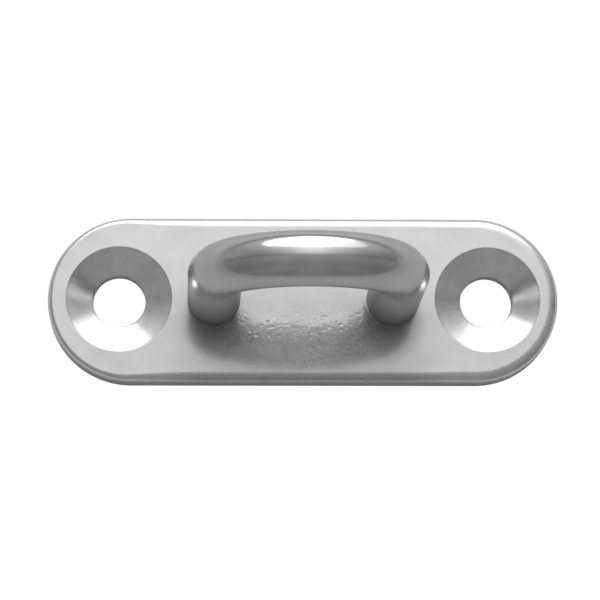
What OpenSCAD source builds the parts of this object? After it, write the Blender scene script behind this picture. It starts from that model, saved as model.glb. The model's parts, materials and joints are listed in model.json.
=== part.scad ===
// Welded pad eye: a rounded base plate with two countersunk screw holes, and a
// bow of round bar that is set through the plate and welded at the back.
// Millimetres. Z = 0 is the mounting face, X runs along the plate, and the
// origin is the middle of the mounting face.

/* [Base plate] */
// End-to-end length of the plate
plate_length = 48.5; // [46:0.5:70]
// Width of the plate, which is also the diameter of its round ends
plate_width = 15.8; // [14:0.2:24]
// Thickness of the plate
plate_thickness = 3; // [2.8:0.1:5]
// Radius of the rounded edge on the eye's side
top_edge_radius = 0.8; // [0.3:0.1:1.2]
// Radius of the broken edge at the mounting face
back_edge_radius = 0.3; // [0.1:0.1:0.6]

/* [Screw holes] */
// Distance between the centres of the two screw holes
screw_spacing = 35; // [32.5:0.5:36.5]
// Diameter of each screw hole
screw_hole_d = 5; // [4.5:0.1:5.5]
// Diameter of each countersink at the plate's upper face
countersink_d = 10; // [8:0.1:10.5]
// Included angle of the countersinks
countersink_angle = 120; // [82:1:130]

/* [Bow] */
// Diameter of the round bar
bar_d = 5; // [4:0.1:6]
// Distance between the centre lines of the two legs
leg_spacing = 17; // [15:0.1:19.4]
// Height of the straight part of each leg above the plate
straight_leg = 13; // [5:0.5:25]

/* [Welds] */
// Radial clearance of a leg in its hole
leg_clearance = 0.05; // [0.02:0.01:0.1]
// Diameter of a weld where it meets the mounting face
weld_d = 7.6; // [6.6:0.1:9]
// Thickness of the weld metal under the end of a leg
weld_cover = 0.6; // [0.4:0.1:1]

/* [Hidden] */
$fn = 96;

// how far a cutting shape runs past the face it cuts
cut_margin = 1;
// distance between the centres of the plate's round ends
end_spacing = plate_length - plate_width;
// depth of a countersink's cone
countersink_depth = (countersink_d - screw_hole_d) / 2 / tan(countersink_angle / 2);
// radius of the bow's half-circle, along the bar's centre line
arch_radius = leg_spacing / 2;
// level of the arch's centre above the mounting face
arch_level = plate_thickness + straight_leg;
leg_hole_d = bar_d + 2 * leg_clearance;
// the weld fills a 45 degree chamfer round the back of the leg's hole
weld_depth = (weld_d - leg_hole_d) / 2;

// Half of the plate's cross-section: its outer edge is at x = plate_width / 2.
module edge_section() {
    half = plate_width / 2;
    square([half - top_edge_radius, plate_thickness]);
    translate([0, back_edge_radius])
        square([half, plate_thickness - top_edge_radius - back_edge_radius]);
    square([half - back_edge_radius, plate_thickness / 2]);
    translate([half - top_edge_radius, plate_thickness - top_edge_radius])
        circle(r = top_edge_radius);
    translate([half - back_edge_radius, back_edge_radius])
        circle(r = back_edge_radius);
}

// One round end of the plate, on the +X side of its own axis.
module plate_end() {
    translate([end_spacing / 2, 0, 0])
        rotate([0, 0, -90])
            rotate_extrude(angle = 180)
                edge_section();
}

// Half of the straight middle of the plate, on the +Y side.
module plate_middle() {
    translate([-end_spacing / 2, 0, 0])
        rotate([90, 0, 90])
            linear_extrude(height = end_spacing)
                edge_section();
}

// A screw's way through the plate: the hole and its countersink.
module screw_way() {
    translate([0, 0, -cut_margin])
        cylinder(d = screw_hole_d, h = plate_thickness + 2 * cut_margin);
    widening = 2 * cut_margin * tan(countersink_angle / 2);
    translate([0, 0, plate_thickness - countersink_depth])
        cylinder(
            d1 = screw_hole_d,
            d2 = countersink_d + widening,
            h = countersink_depth + cut_margin
        );
}

// A leg's way through the plate: the hole and the chamfer that the weld fills.
module leg_way() {
    translate([0, 0, -cut_margin])
        cylinder(d = leg_hole_d, h = plate_thickness + 2 * cut_margin);
    cylinder(d1 = weld_d, d2 = leg_hole_d, h = weld_depth);
    translate([0, 0, -cut_margin])
        cylinder(d = weld_d, h = cut_margin);
}

module base_plate() {
    color("lightgray")
        difference() {
            union() {
                plate_end();
                mirror([1, 0, 0]) plate_end();
                plate_middle();
                mirror([0, 1, 0]) plate_middle();
            }
            for (side = [-1, 1]) {
                translate([side * screw_spacing / 2, 0, 0]) screw_way();
                translate([side * leg_spacing / 2, 0, 0]) leg_way();
            }
        }
}

// The bar, bent to a half-circle between two straight legs.
module eye_bow() {
    color("silver")
        union() {
            for (side = [-1, 1])
                translate([side * leg_spacing / 2, 0, weld_cover])
                    cylinder(d = bar_d, h = arch_level - weld_cover);
            translate([0, 0, arch_level])
                rotate([90, 0, 0])
                    rotate_extrude(angle = 180)
                        translate([arch_radius, 0])
                            circle(d = bar_d);
        }
}

// The weld metal: it fills the chamfer and closes the hole under the leg's end.
module leg_weld(side) {
    translate([side * leg_spacing / 2, 0, 0])
        difference() {
            cylinder(d1 = weld_d, d2 = leg_hole_d, h = weld_depth);
            translate([0, 0, weld_cover])
                cylinder(d = bar_d, h = weld_depth);
        }
}

module left_leg_weld() {
    color("darkgray") leg_weld(-1);
}

module right_leg_weld() {
    color("darkgray") leg_weld(1);
}

base_plate();
eye_bow();
left_leg_weld();
right_leg_weld();
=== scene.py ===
# A welded stainless pad eye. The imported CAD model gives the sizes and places; this
# script gives each piece its finished mesh and material, and sets up the studio
# light and a camera that looks down from almost straight above.
import json
import math

import bmesh
import bpy
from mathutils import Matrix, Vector, noise
from mathutils.geometry import delaunay_2d_cdt


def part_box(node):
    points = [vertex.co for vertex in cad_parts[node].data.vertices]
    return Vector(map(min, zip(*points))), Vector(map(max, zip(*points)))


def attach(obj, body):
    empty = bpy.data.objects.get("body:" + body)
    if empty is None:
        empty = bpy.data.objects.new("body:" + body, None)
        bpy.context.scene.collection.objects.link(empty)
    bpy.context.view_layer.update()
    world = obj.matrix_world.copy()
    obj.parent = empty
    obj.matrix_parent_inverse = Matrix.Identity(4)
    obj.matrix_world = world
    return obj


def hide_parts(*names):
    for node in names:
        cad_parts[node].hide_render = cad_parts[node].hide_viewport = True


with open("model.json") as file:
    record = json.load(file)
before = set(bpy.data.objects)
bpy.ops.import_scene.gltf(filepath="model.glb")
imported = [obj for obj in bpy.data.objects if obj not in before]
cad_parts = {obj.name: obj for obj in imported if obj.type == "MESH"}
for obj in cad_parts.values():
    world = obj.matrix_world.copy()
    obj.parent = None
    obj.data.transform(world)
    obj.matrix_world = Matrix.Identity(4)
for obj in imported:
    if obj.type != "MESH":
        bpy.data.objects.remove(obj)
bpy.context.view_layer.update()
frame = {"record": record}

MM = 0.001
TAU = 2 * math.pi

# ---------------------------------------------------------------------------
# Sizes: from the frame where it gives them. The countersinks, edges, clearances and
# surface relief, which it doesn't give, are set here
# ---------------------------------------------------------------------------
plate_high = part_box("base_plate")[1]
bow_low, bow_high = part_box("eye_bow")
weld_low, weld_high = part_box("right_leg_weld")
mounts = {mount["name"]: mount["dims"] for mount in frame["record"]["mounts"]}

plate_half_length = plate_high.x
plate_half_width = plate_high.y
plate_top = plate_high.z
end_centre = plate_half_length - plate_half_width
# the top edge is a quarter ellipse, crisper round the left end than round the right end
top_edge_height = 0.8 * MM
top_edge_width = 0.9 * MM
left_edge_change = -0.42 * MM
right_edge_change = 0.12 * MM
back_edge_radius = 0.3 * MM

# relief of the upper face: a slow waviness, and pebbles and pits in front of the bow
face_waviness = 0.006 * MM
pebble_depth = 0.006 * MM
pit_depth = 0.0055 * MM
pebbled_half_x = 7.4 * MM
pebbled_front = -5.0 * MM

# widths of the triangles in the upper face, in its pebbled part and in the back
face_spacing = 0.4 * MM
pebbled_spacing = 0.07 * MM
back_spacing = 0.8 * MM
# a narrow flat strip round each opening, which keeps the broad faces' shading flat
flat_border = 0.05 * MM

screw_x = mounts["screw_pattern"]["spacing_x_mm"] / 2 * MM
screw_radius = mounts["screw_pattern"]["hole_r_mm"] * MM
screw_land = mounts["right_screw_hole"]["length_mm"] * MM
countersink_radius = 5 * MM
countersink_lip = 0.05 * MM
screw_hole_break = 0.08 * MM
cone_foot_round = 0.05 * MM

bar_radius = bow_high.y
leg_x = bow_high.x - bar_radius
leg_foot = bow_low.z
arch_level = bow_high.z - bow_high.x
# the hole's mouth closes tightly round the bar, and the hole is wider below it
leg_hole_radius = bar_radius + 0.05 * MM
leg_mouth_radius = bar_radius + 0.01 * MM
leg_mouth_depth = 0.1 * MM
# the bow leans a degree or so towards the front, and is a few microns out of round
bow_lean = 0.02
bow_waviness = 0.012 * MM

weld_radius = (weld_high.x - weld_low.x) / 2
weld_height = weld_high.z

# steps round a hole, round the bar and round a weld
hole_steps = 192
bar_steps = 128
weld_steps = 96


# ---------------------------------------------------------------------------
# Mesh helpers
# ---------------------------------------------------------------------------
def circle(centre_x, radius, z, segments):
    """Points of a horizontal circle round (centre_x, 0), counter-clockwise."""
    return [
        Vector((
            centre_x + radius * math.cos(TAU * i / segments),
            radius * math.sin(TAU * i / segments),
            z,
        ))
        for i in range(segments)
    ]


def add_loop(bm, points):
    return [bm.verts.new(point) for point in points]


def add_rings(bm, centre_x, profile, segments):
    """Loops of vertices round (centre_x, 0), one for each (radius, z) of the profile."""
    return [add_loop(bm, circle(centre_x, radius, z, segments)) for radius, z in profile]


def bridge(bm, loops, material=0, flip=False):
    """Smooth quads between neighbouring closed loops of equal length."""
    for lower, upper in zip(loops, loops[1:]):
        count = len(lower)
        for i in range(count):
            j = (i + 1) % count
            corners = (lower[i], lower[j], upper[j], upper[i])
            face = bm.faces.new(corners[::-1] if flip else corners)
            face.material_index = material
            face.smooth = True


def cap_ends(bm, loops):
    """Closes a bridged tube with one face at each end, all facing outwards."""
    bm.faces.new(loops[0][::-1])
    bm.faces.new(loops[-1])
    bmesh.ops.recalc_face_normals(bm, faces=bm.faces)


def grid_points(spacing, half_x, low_y, high_y):
    """Points of a triangular grid over a rectangle centred on x = 0."""
    row_gap = spacing * math.sqrt(3) / 2
    for row in range(int((high_y - low_y) / row_gap) + 1):
        shift = spacing / 2 if row % 2 else 0
        for column in range(int(2 * half_x / spacing) + 1):
            yield column * spacing + shift - half_x, low_y + row * row_gap


def fill_with_holes(bm, outer, holes, spacing, inside, height, upward, fine=None, material=0):
    """A face between an outer loop and holes, as even triangles about spacing wide.

    inside(x, y, margin) says whether a point is on the face, and height(x, y) its level.
    fine is (spacing, half_x, low_y, high_y) of a rectangle with smaller triangles.
    """
    rim = [vert for loop in [outer, *holes] for vert in loop]
    points = [vert.co.xy.copy() for vert in rim]
    edges, start = [], 0
    for loop in [outer, *holes]:
        count = len(loop)
        edges += [(start + i, start + (i + 1) % count) for i in range(count)]
        start += count
    for x, y in grid_points(spacing, plate_half_length, -plate_half_width, plate_half_width):
        in_fine = fine and abs(x) < fine[1] and fine[2] < y < fine[3]
        if inside(x, y, spacing * 0.6) and not in_fine:
            points.append(Vector((x, y)))
    if fine:
        points += [Vector((x, y)) for x, y in grid_points(*fine) if inside(x, y, fine[0] * 0.6)]
    coords, _, triangles, origins, _, _ = delaunay_2d_cdt(points, edges, [], 0, 1e-9)
    verts = []
    for co, origin in zip(coords, origins):
        known = [i for i in origin if i < len(rim)]
        verts.append(rim[known[0]] if known else bm.verts.new((co.x, co.y, height(co.x, co.y))))
    for triangle in triangles:
        middle = sum((coords[i] for i in triangle), Vector((0, 0))) / 3
        if not inside(middle.x, middle.y, 0):
            continue
        corners = [verts[i] for i in triangle]
        face = bm.faces.new(corners if upward else corners[::-1])
        face.material_index = material
        face.smooth = True


def finish_object(bm, name, materials, node):
    """Turns a bmesh into a piece that stands for a CAD node."""
    mesh = bpy.data.meshes.new(name)
    bm.normal_update()
    bm.to_mesh(mesh)
    bm.free()
    mesh.set_sharp_from_angle(angle=math.radians(30))
    for material in materials:
        mesh.materials.append(material)
    piece = bpy.data.objects.new(name, mesh)
    bpy.context.scene.collection.objects.link(piece)
    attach(piece, "root")
    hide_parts(node)


# ---------------------------------------------------------------------------
# Shader nodes
# ---------------------------------------------------------------------------
class NodeTree:
    """The node tree of a material, light or world, with short calls that add to it.

    A value given to a call is a number, a vector or the output of another node.
    """

    def __init__(self, owner):
        owner.use_nodes = True
        self.nodes = owner.node_tree.nodes
        self.links = owner.node_tree.links

    def set(self, socket, value):
        if isinstance(value, bpy.types.NodeSocket):
            self.links.new(value, socket)
        else:
            socket.default_value = value

    def add(self, kind, inputs=(), **settings):
        """A node of that kind; each input is (name or number, value)."""
        node = self.nodes.new("ShaderNode" + kind)
        for key, value in settings.items():
            setattr(node, key, value)
        for key, value in inputs:
            self.set(node.inputs[key], value)
        return node

    def math(self, operation, *values):
        return self.add("Math", enumerate(values), operation=operation).outputs[0]

    def vector_math(self, operation, *vectors):
        return self.add("VectorMath", enumerate(vectors), operation=operation).outputs

    def combine(self, x, y, z=0.0):
        return self.add("CombineXYZ", [("X", x), ("Y", y), ("Z", z)]).outputs[0]

    def separate(self, vector):
        return self.add("SeparateXYZ", [(0, vector)]).outputs

    def share(self, value, start, stop, interpolation="LINEAR"):
        """0 where value is at start, 1 where it is at stop, and held outside them."""
        return self.add(
            "MapRange",
            [("Value", value), ("From Min", start), ("From Max", stop)],
            interpolation_type=interpolation,
        ).outputs["Result"]

    def ramp(self, value, stops):
        """Grey levels along a value, as (position, level) pairs."""
        node = self.add("ValToRGB", [("Fac", value)])
        elements = node.color_ramp.elements
        elements.remove(elements[-1])
        for i, (position, level) in enumerate(stops):
            element = elements[0] if i == 0 else elements.new(position)
            element.position = position
            element.color = (level, level, level, 1)
        return node.outputs["Color"]

    def noise_texture(self, place, feature, detail=2.0, stretch=(1, 1, 1), turn=0.0):
        """Noise with features about so many metres wide, drawn out by stretch after a turn."""
        size = [1 / (feature * factor) for factor in stretch]
        mapping = self.add(
            "Mapping", [("Vector", place), ("Rotation", (0, 0, turn)), ("Scale", size)]
        )
        return self.add(
            "TexNoise", [("Vector", mapping.outputs[0]), ("Scale", 1.0), ("Detail", detail)]
        ).outputs["Fac"]


class Metal(NodeTree):
    """A new metal, with the object coordinates as its place."""

    def __init__(self, name):
        self.material = bpy.data.materials.new(name)
        super().__init__(self.material)
        self.inputs = self.nodes["Principled BSDF"].inputs
        self.inputs["Metallic"].default_value = 1.0
        self.place = self.add("TexCoord").outputs["Object"]

    def colour(self, value):
        self.set(self.inputs["Base Color"], value)

    def roughness(self, value):
        self.set(self.inputs["Roughness"], value)

    def bumps(self, *layers):
        """Bumps from (height, depth in metres) pairs, one on top of the other."""
        normal = None
        for height, depth in layers:
            inputs = [("Height", height), ("Distance", depth), ("Strength", 1.0)]
            if normal:
                inputs.append(("Normal", normal))
            normal = self.add("Bump", inputs).outputs["Normal"]
        self.set(self.inputs["Normal"], normal)


# ---------------------------------------------------------------------------
# Materials
# ---------------------------------------------------------------------------
def satin_steel():
    """All but the back and the cones: smooth facets, rougher grains and fine scratches, with
    painted shade before the legs and a painted shade and reflection of the bow along the front.
    """
    metal = Metal("plate_satin_steel")
    place = metal.place
    axes = metal.separate(place)
    grain = metal.noise_texture(place, 0.033 * MM, detail=1)
    metal.roughness(metal.ramp(grain, [(0.53, 0.12), (0.59, 0.4)]))

    # painted shade round the front of each leg's foot, out to 3.2 mm sideways and 4 mm ahead
    off_middle = metal.math("ABSOLUTE", axes["X"])
    across = metal.math("DIVIDE", metal.math("SUBTRACT", off_middle, leg_x), 3.2 * MM)
    ahead = metal.math("DIVIDE", metal.math("ADD", axes["Y"], bar_radius), 4.0 * MM)
    away = metal.vector_math("LENGTH", metal.combine(across, ahead))["Value"]
    leg_painted_shade = metal.ramp(away, [(0, 0.66), (0.3, 0.74), (0.7, 0.86), (1, 1)])

    # painted shade and a painted reflection of the bow along the front of the middle, strongest on
    # the rounded edge and just before the bow
    front_to_back = metal.share(axes["Y"], -plate_half_width, plate_half_width)
    front_painted_shade = metal.ramp(front_to_back, [
        (0, 1), (0.003, 1), (0.007, 0.6), (0.02, 0.7), (0.05, 0.85), (0.1, 0.87),
        (0.2, 0.88), (0.27, 0.79), (0.36, 0.7), (0.44, 0.82), (0.65, 1),
    ])
    front_shade_spread = metal.share(off_middle, 14.5 * MM, 9 * MM, "SMOOTHSTEP")
    front_shade_depth = metal.math("MULTIPLY", metal.math("SUBTRACT", 1.0, front_painted_shade), front_shade_spread)
    front_painted_shade = metal.math("SUBTRACT", 1.0, front_shade_depth)

    clouds = metal.noise_texture(place, 2.5 * MM, detail=7)
    mottle = metal.ramp(clouds, [(0.3, 0.735), (0.7, 0.805)])
    # the colour is both painted shades times a random mottle
    metal.colour(metal.math("MULTIPLY", metal.math("MULTIPLY", leg_painted_shade, front_painted_shade), mottle))

    brushed = metal.noise_texture(place, 0.1 * MM, stretch=(6, 1, 1))
    lines = metal.noise_texture(place, 0.05 * MM, detail=1, stretch=(90, 1, 1), turn=0.35)
    scratches = metal.ramp(lines, [(0.66, 1), (0.72, 0)])
    metal.bumps((brushed, 0.0006 * MM), (scratches, 0.0005 * MM))
    return metal.material


def turned_steel():
    """A countersink's cone: fine turned rings, and chatter marks that run down the cone."""
    metal = Metal("countersink_turned_steel")
    axes = metal.separate(metal.place)
    side = metal.math("SIGN", axes["X"])
    screw_place = metal.math("MULTIPLY", side, screw_x)
    from_screw = metal.combine(
        metal.math("SUBTRACT", axes["X"], screw_place), axes["Y"]
    )
    radius = metal.vector_math("LENGTH", from_screw)["Value"]
    heading = metal.vector_math("NORMALIZE", from_screw)["Vector"]
    rings = metal.add(
        "TexNoise",
        [("W", metal.math("DIVIDE", radius, 0.06 * MM)), ("Scale", 1.0), ("Detail", 2.0)],
        noise_dimensions="1D",
    ).outputs["Fac"]
    # the chatter differs between the two cones, and drifts slowly from rim to hole
    drift = metal.combine(
        0.0, metal.math("MULTIPLY", side, 3.0), metal.math("DIVIDE", radius, 24 * MM)
    )
    chatter_place = metal.vector_math("ADD", heading, drift)["Vector"]
    chatter = metal.add(
        "TexNoise", [("Vector", chatter_place), ("Scale", 15.0), ("Detail", 3.0)]
    ).outputs["Fac"]
    patches = metal.noise_texture(metal.place, 1.2 * MM, detail=3)
    metal.colour(metal.ramp(patches, [(0.3, 0.82), (0.7, 0.89)]))
    metal.roughness(metal.ramp(patches, [(0.35, 0.19), (0.65, 0.26)]))
    pits = metal.noise_texture(metal.place, 0.09 * MM, detail=1)
    metal.bumps((rings, 0.0012 * MM), (chatter, 0.005 * MM), (pits, 0.0018 * MM))
    return metal.material


def polished_steel():
    """The bow: smooth over the crown, duller and darker down the legs."""
    metal = Metal("bow_polished_steel")
    metal.inputs["Specular Tint"].default_value = (0.85, 0.85, 0.85, 1)
    axes = metal.separate(metal.place)
    height = metal.share(axes["Z"], plate_top, arch_level + 4 * MM)
    clouds = metal.noise_texture(metal.place, 1.6 * MM, detail=3)
    # the colour is darker towards the foot of the legs
    darker_towards_foot = metal.ramp(height, [(0, 0.33), (0.19, 0.38), (0.4, 0.5), (0.7, 0.62)])
    mottle = metal.ramp(clouds, [(0.3, 0.95), (0.7, 1.05)])
    metal.colour(metal.math("MULTIPLY", darker_towards_foot, mottle))
    worn = metal.ramp(height, [(0, 0.48), (0.74, 0.42), (0.86, 0.24), (1, 0.14)])
    uneven = metal.ramp(clouds, [(0.3, 0.96), (0.7, 1.06)])
    metal.roughness(metal.math("MULTIPLY", worn, uneven))
    # the buffing marks run along Y, which is round the bar at the crown
    buffing = metal.noise_texture(metal.place, 0.12 * MM, stretch=(1, 5, 1))
    pits = metal.noise_texture(metal.place, 0.3 * MM)
    metal.bumps((buffing, 0.0005 * MM), (pits, 0.0008 * MM))
    return metal.material


def mill_steel():
    """The back of the plate, left as rolled and rubbed on a belt."""
    metal = Metal("back_mill_steel")
    streaks = metal.noise_texture(metal.place, 0.12 * MM, detail=3, stretch=(40, 1, 1))
    clouds = metal.noise_texture(metal.place, 3 * MM, detail=4)
    metal.colour(metal.ramp(clouds, [(0.3, 0.52), (0.7, 0.6)]))
    metal.roughness(metal.ramp(streaks, [(0.3, 0.26), (0.7, 0.42)]))
    metal.bumps((streaks, 0.004 * MM), (clouds, 0.01 * MM))
    return metal.material


def ground_weld():
    """Weld metal dressed flush with a disc: slanting grinding lines over a cloudy grey."""
    metal = Metal("weld_ground_steel")
    lines = metal.noise_texture(metal.place, 0.14 * MM, detail=3, stretch=(30, 1, 1), turn=0.7)
    clouds = metal.noise_texture(metal.place, 0.9 * MM, detail=4)
    metal.colour(metal.ramp(clouds, [(0.3, 0.38), (0.7, 0.52)]))
    metal.roughness(metal.ramp(lines, [(0.3, 0.34), (0.7, 0.5)]))
    metal.bumps((lines, 0.008 * MM), (clouds, 0.02 * MM))
    return metal.material


# ---------------------------------------------------------------------------
# Base plate
# ---------------------------------------------------------------------------
def ease(value, start, stop):
    """0 before start and 1 after stop, with a smooth turn between them."""
    share = min(max((value - start) / (stop - start), 0), 1)
    return share * share * (3 - 2 * share)


def edge_change(x):
    """How much wider the top edge is at x than along the middle of the plate."""
    near, far = 0.6 * end_centre, end_centre + 0.6 * plate_half_width
    left = left_edge_change * ease(-x, near, far)
    return left + right_edge_change * ease(x, near, far)


def outline(inset, change, z, arc_steps=96, straight_steps=64):
    """The plate's outline moved inwards, counter-clockwise from the lower right.

    It moves by inset, plus change times the extra width of the top edge there.
    """
    points = []
    for side in (1, -1):
        for i in range(arc_steps):
            angle = -math.pi / 2 + math.pi * i / arc_steps
            x = side * (end_centre + plate_half_width * math.cos(angle))
            radius = plate_half_width - inset - change * edge_change(x)
            points.append(Vector((
                side * (end_centre + radius * math.cos(angle)),
                side * radius * math.sin(angle),
                z,
            )))
        for i in range(straight_steps):
            x = side * end_centre * (1 - 2 * i / straight_steps)
            radius = plate_half_width - inset - change * edge_change(x)
            points.append(Vector((x, side * radius, z)))
    return points


def edge_round(width, change, height, z_centre, start, stop, steps):
    """(inset, change, z) along an elliptical edge, by angle above the outward direction."""
    for i in range(steps + 1):
        angle = start + (stop - start) * i / steps
        share = 1 - math.cos(angle)
        yield width * share, change * share, z_centre + height * math.sin(angle)


def face_level(x, y):
    """The upper face: a slow waviness, and pebbled steel between the legs and before them."""
    wave = noise.noise(Vector((x / (5 * MM), y / (4 * MM), 0.7)))
    pebbled = 1 - ease(abs(x), 5.6 * MM, pebbled_half_x)
    pebbled *= ease(y, pebbled_front, -3.4 * MM) * (1 - ease(y, -1.8 * MM, 0.2 * MM))
    pebble = noise.noise(Vector((x / (0.45 * MM), y / (0.45 * MM), 5.3)))
    pit = ease(noise.noise(Vector((x / (0.26 * MM), y / (0.26 * MM), 9.1))), 0.25, 0.6)
    hollow = 0.5 * (1 - pebble) * pebble_depth + pit * pit_depth
    return plate_top - 0.5 * (1 - wave) * face_waviness - pebbled * hollow


def face_test(screw_opening, leg_opening, inset, change):
    """A test of whether a point is on a broad face, further than margin from its rims."""
    def inside(x, y, margin):
        past_end = max(abs(x) - end_centre, 0)
        edge_inset = inset + change * edge_change(x)
        if math.hypot(past_end, y) > plate_half_width - edge_inset - margin:
            return False
        if math.hypot(abs(x) - screw_x, y) < screw_opening + margin:
            return False
        return math.hypot(abs(x) - leg_x, y) >= leg_opening + margin
    return inside


def add_screw_hole(bm, x):
    """A countersunk hole at x; gives its loops in the upper face and in the back."""
    lip = [(countersink_radius + countersink_lip + flat_border, plate_top)]
    # the lip's rounding, as shares of its width outwards and down
    for out, down in [(1, 0), (0.6, 0.1), (0.25, 0.28), (0, 0.5), (-0.15, 0.75)]:
        lip.append((countersink_radius + countersink_lip * out, plate_top - countersink_lip * down))
    cone_run = countersink_radius - screw_radius
    cone_top = lip[-1][1]
    cone = [
        (countersink_radius - cone_run * share, cone_top - (cone_top - screw_land) * share)
        for share in [0.02 + 0.955 * i / 24 for i in range(25)]
    ]
    # the rounding of the cone's foot, in the same way
    foot = [
        (screw_radius + cone_foot_round * out, screw_land - cone_foot_round * down)
        for out, down in [(0.45, 0.1), (0.1, 0.45), (0, 1)]
    ]
    bore = [
        (screw_radius, screw_hole_break),
        (screw_radius + screw_hole_break * 0.3, screw_hole_break * 0.3),
        (screw_radius + screw_hole_break, 0),
        (screw_radius + screw_hole_break + flat_border, 0),
    ]
    rings = add_rings(bm, x, lip + cone + foot + bore, hole_steps)
    turned_from = len(lip) - 1
    turned_to = len(lip) + len(cone) + len(foot) - 1
    bridge(bm, rings[:turned_from + 1])
    bridge(bm, rings[turned_from:turned_to + 1], material=1)
    bridge(bm, rings[turned_to:])
    return rings[0], rings[-1]


def add_leg_hole(bm, x):
    """A leg's hole at x; gives its loops in the upper face and in the back."""
    rings = add_rings(bm, x, [
        (leg_mouth_radius + flat_border, plate_top),
        (leg_mouth_radius, plate_top),
        (leg_mouth_radius, plate_top - leg_mouth_depth),
        (leg_hole_radius, plate_top - 2 * leg_mouth_depth),
        (leg_hole_radius, weld_height),
        (weld_radius, 0),
        (weld_radius + flat_border, 0),
    ], hole_steps)
    bridge(bm, rings)
    return rings[0], rings[-1]


def build_plate():
    bm = bmesh.new()
    top_inset = top_edge_width + flat_border
    back_inset = back_edge_radius + flat_border
    edge_level = plate_top - top_edge_height
    profile = [
        (top_inset, 1, plate_top),
        *edge_round(top_edge_width, 1, top_edge_height, edge_level, math.pi / 2, 0, 20),
        *edge_round(back_edge_radius, 0, back_edge_radius, back_edge_radius, 0, -math.pi / 2, 6),
        (back_inset, 0, 0),
    ]
    edge = [add_loop(bm, outline(*step)) for step in profile]
    bridge(bm, edge, flip=True)

    openings = [add_screw_hole(bm, x) for x in (-screw_x, screw_x)]
    openings += [add_leg_hole(bm, x) for x in (-leg_x, leg_x)]
    top_holes, back_holes = zip(*openings)

    top_inside = face_test(
        countersink_radius + countersink_lip + flat_border,
        leg_mouth_radius + flat_border,
        top_inset,
        1,
    )
    back_inside = face_test(
        screw_radius + screw_hole_break + flat_border, weld_radius + flat_border, back_inset, 0
    )
    # the fine triangles stop where the pebbles have almost faded out
    fill_with_holes(
        bm, edge[0], top_holes, face_spacing, top_inside, face_level, upward=True,
        fine=(pebbled_spacing, pebbled_half_x, pebbled_front, -0.3 * MM),
    )
    fill_with_holes(
        bm, edge[-1], back_holes, back_spacing, back_inside, lambda x, y: 0.0,
        upward=False, material=2,
    )
    finishes = [satin_steel(), turned_steel(), mill_steel()]
    finish_object(bm, "plate_body", finishes, "base_plate")


# ---------------------------------------------------------------------------
# Bow
# ---------------------------------------------------------------------------
def bow_path(leg_steps=40, arch_steps=128):
    """(centre, turn) along the bar, where turn goes from 0 in the left leg to pi in the right."""
    rise = arch_level - leg_foot
    for i in range(leg_steps):
        yield Vector((-leg_x, 0, leg_foot + rise * i / leg_steps)), 0.0
    for i in range(arch_steps + 1):
        turn = math.pi * i / arch_steps
        yield Vector((-leg_x * math.cos(turn), 0, arch_level + leg_x * math.sin(turn))), turn
    for i in range(1, leg_steps + 1):
        yield Vector((leg_x, 0, arch_level - rise * i / leg_steps)), math.pi


def build_bow():
    bm = bmesh.new()
    loops = []
    for centre, turn in bow_path():
        centre.y = -bow_lean * max(centre.z - plate_top, 0)
        out = Vector((-math.cos(turn), 0, math.sin(turn)))
        points = []
        for i in range(bar_steps):
            angle = TAU * i / bar_steps
            facing = math.cos(angle) * out + math.sin(angle) * Vector((0, 1, 0))
            place = (centre + bar_radius * facing) / (3.5 * MM)
            dip = 0.5 * (1 - noise.noise(place)) * bow_waviness
            points.append(centre + (bar_radius - dip) * facing)
        loops.append(add_loop(bm, points))
    bridge(bm, loops)
    cap_ends(bm, loops)
    finish_object(bm, "bow_bar", [polished_steel()], "eye_bow")


# ---------------------------------------------------------------------------
# Welds
# ---------------------------------------------------------------------------
def build_weld(name, node, x, material):
    """Weld metal with a shallow socket that holds the leg's end."""
    bm = bmesh.new()
    rings = add_rings(bm, x, [
        (weld_radius, 0.0),
        (leg_hole_radius, weld_height),
        (bar_radius, weld_height),
        (bar_radius, leg_foot),
    ], weld_steps)
    bridge(bm, rings)
    cap_ends(bm, rings)
    finish_object(bm, name, [material], node)


build_plate()
build_bow()
weld_material = ground_weld()
build_weld("left_weld", "left_leg_weld", -leg_x, weld_material)
build_weld("right_weld", "right_leg_weld", leg_x, weld_material)


# ---------------------------------------------------------------------------
# Studio
# ---------------------------------------------------------------------------
def flat_sheet(name, half, material):
    """A square sheet at floor level, from -half to half each way."""
    bm = bmesh.new()
    corners = [(-half, -half, 0), (half, -half, 0), (half, half, 0), (-half, half, 0)]
    bm.faces.new(add_loop(bm, corners))
    mesh = bpy.data.meshes.new(name)
    bm.to_mesh(mesh)
    bm.free()
    mesh.materials.append(material)
    sheet = bpy.data.objects.new(name, mesh)
    bpy.context.scene.collection.objects.link(sheet)
    return sheet


def matt_material(name, grey, glow=0.0):
    material = bpy.data.materials.new(name)
    material.use_nodes = True
    inputs = material.node_tree.nodes["Principled BSDF"].inputs
    inputs["Base Color"].default_value = (grey, grey, grey, 1)
    inputs["Roughness"].default_value = 0.9
    inputs["Specular IOR Level"].default_value = 0
    inputs["Emission Color"].default_value = (1, 1, 1, 1)
    inputs["Emission Strength"].default_value = glow
    return material


def build_floor():
    """A backlit white sheet that the lens sees, and a grey table that the steel reflects."""
    half = 3.0
    floor = flat_sheet("floor", half, matt_material("white_acrylic", 0.5, 0.85))
    floor.visible_diffuse = False
    floor.visible_glossy = False
    floor.visible_shadow = False
    table = flat_sheet("table", half, matt_material("grey_table", 0.72))
    table.visible_camera = False


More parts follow.
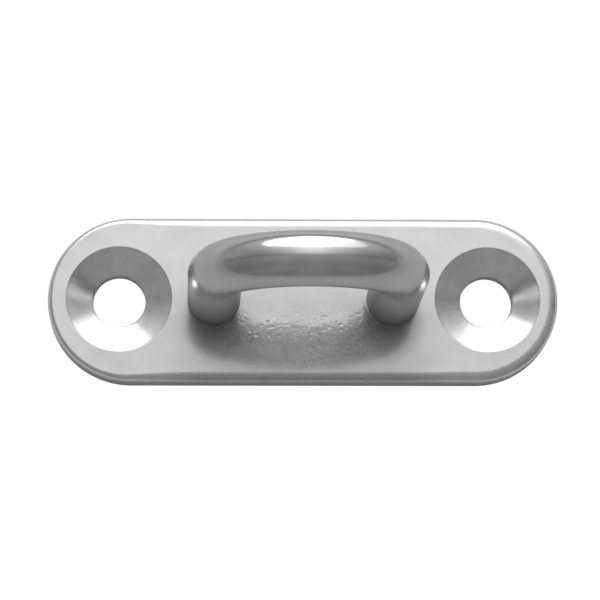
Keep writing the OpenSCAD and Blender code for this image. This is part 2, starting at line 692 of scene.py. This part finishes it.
def build_softbox():
    """An upright elliptical softbox behind the eye, dim over the third at its +X end."""
    width, height, radiance = 225 * MM, 140 * MM, 2.4
    place = Vector((16 * MM, 120 * MM, 100.5 * MM))
    target = Vector((place.x, 0, place.z))
    light = bpy.data.lights.new("back_softbox", "AREA")
    light.shape = "ELLIPSE"
    light.size = width
    light.size_y = height
    # an area light of power P and area A has radiance P / (pi A)
    light.energy = radiance * math.pi * (math.pi / 4 * width * height)
    tree = NodeTree(light)
    # the parametric coordinate runs from 0 at the +X end to 1 at the -X end
    across = tree.separate(tree.add("NewGeometry").outputs["Parametric"])["X"]
    level = tree.ramp(across, [(0, 0.25), (0.26, 0.28), (0.38, 1), (0.78, 1), (1, 0.6)])
    tree.set(tree.nodes["Emission"].inputs["Strength"], level)
    lamp = bpy.data.objects.new("back_softbox", light)
    lamp.location = place
    lamp.rotation_euler = (target - place).to_track_quat("-Z", "Y").to_euler()
    lamp.visible_camera = False
    bpy.context.scene.collection.objects.link(lamp)


def build_world():
    """A soft room: dim in front and at the sides, brighter from overhead to the back."""
    front_strength = 1.5
    world = bpy.data.worlds.new("studio")
    tree = NodeTree(world)
    direction = tree.separate(tree.add("TexCoord").outputs["Generated"])
    # backward is 0 at the front and 1 at the back, sideways 0 at the left and 1 at the right
    backward = tree.share(direction["Y"], -1, 1)
    sideways = tree.share(direction["X"], -1, 1)

    back_level = tree.ramp(backward, [
        (0, 0.28), (0.2, 0.285), (0.36, 0.345), (0.5, 0.38), (0.575, 0.68),
        (0.615, 0.97), (0.7, 1.1), (0.8, 1.4), (1, 1),
    ])
    back_width = tree.ramp(sideways, [
        (0, 0.4), (0.1, 0.28), (0.25, 0.5), (0.35, 0.7), (0.46, 1), (0.56, 1),
        (0.68, 0.7), (0.85, 0.4), (0.95, 0.28),
    ])
    back_light = tree.math("MULTIPLY", back_level, back_width)

    front_level = tree.ramp(backward, [
        (0, 0.18), (0.05, 0.22), (0.12, 0.26), (0.2, 0.245), (0.27, 0.26), (0.36, 0.3),
        (0.46, 0.35), (0.53, 0.33), (0.58, 0.2), (0.65, 0.12),
    ])
    front_width = tree.ramp(sideways, [
        (0.05, 0.5), (0.28, 0.74), (0.5, 0.63), (0.72, 0.69), (0.94, 0.52),
    ])
    front_light = tree.math("MULTIPLY", front_level, front_width)
    front_light = tree.math("MULTIPLY", front_light, front_strength)

    background = tree.nodes["Background"].inputs
    background["Color"].default_value = (1, 1, 1, 1)
    tree.set(background["Strength"], tree.math("MAXIMUM", back_light, front_light))
    bpy.context.scene.world = world


def build_camera():
    data = bpy.data.cameras.new("camera")
    data.sensor_width = 36
    data.lens = 189.7
    data.clip_start, data.clip_end = 0.01, 20
    camera = bpy.data.objects.new("camera", data)
    # straight above, then leant about 11 degrees towards the front and 2 to the left
    camera.rotation_mode = "ZXY"
    camera.rotation_euler = (math.radians(10.78), math.radians(-2.01), math.radians(-0.23))
    offset = Vector((-0.343 * MM, -0.086 * MM, 300 * MM))
    turn = camera.rotation_euler.to_matrix()
    camera.location = turn @ offset + Vector((0, 0, plate_top))
    bpy.context.scene.collection.objects.link(camera)
    bpy.context.scene.camera = camera


build_floor()
build_softbox()
build_world()
build_camera()
bpy.context.scene.view_settings.view_transform = "Standard"
